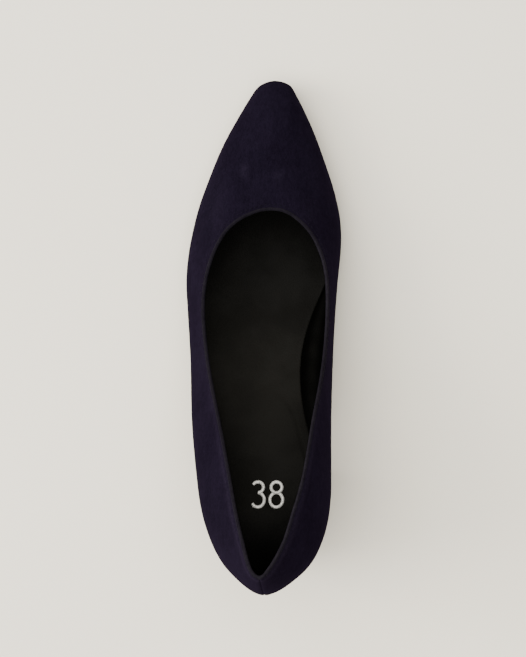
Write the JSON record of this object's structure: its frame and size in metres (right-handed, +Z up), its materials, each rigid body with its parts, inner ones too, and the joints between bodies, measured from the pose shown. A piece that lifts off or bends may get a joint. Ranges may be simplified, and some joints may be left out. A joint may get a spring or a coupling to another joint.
{
  "type": "court shoe",
  "caption": "Low-cut court shoe with a tapered almond toe, an arched thin sole and a covered block heel, open at the collar and standing empty.",
  "frame": {"origin": "on the floor, under the middle of the shoe's outline as seen from above", "axes": "+X to the big-toe side of this left shoe, +Y from heel to toe, +Z up"},
  "size_m": [0.0803, 0.2572, 0.1198],
  "materials": {
    "suede": "dark navy suede, matt with a soft nap",
    "sock": "smooth charcoal lining leather",
    "sole": "black, satin",
    "rubber": "black, matt"
  },
  "bodies": {
    "root": {"upper": "suede", "insole": "sock", "outsole": "sole", "heel": "suede", "top_piece": "rubber"}
  },
  "joints": []
}
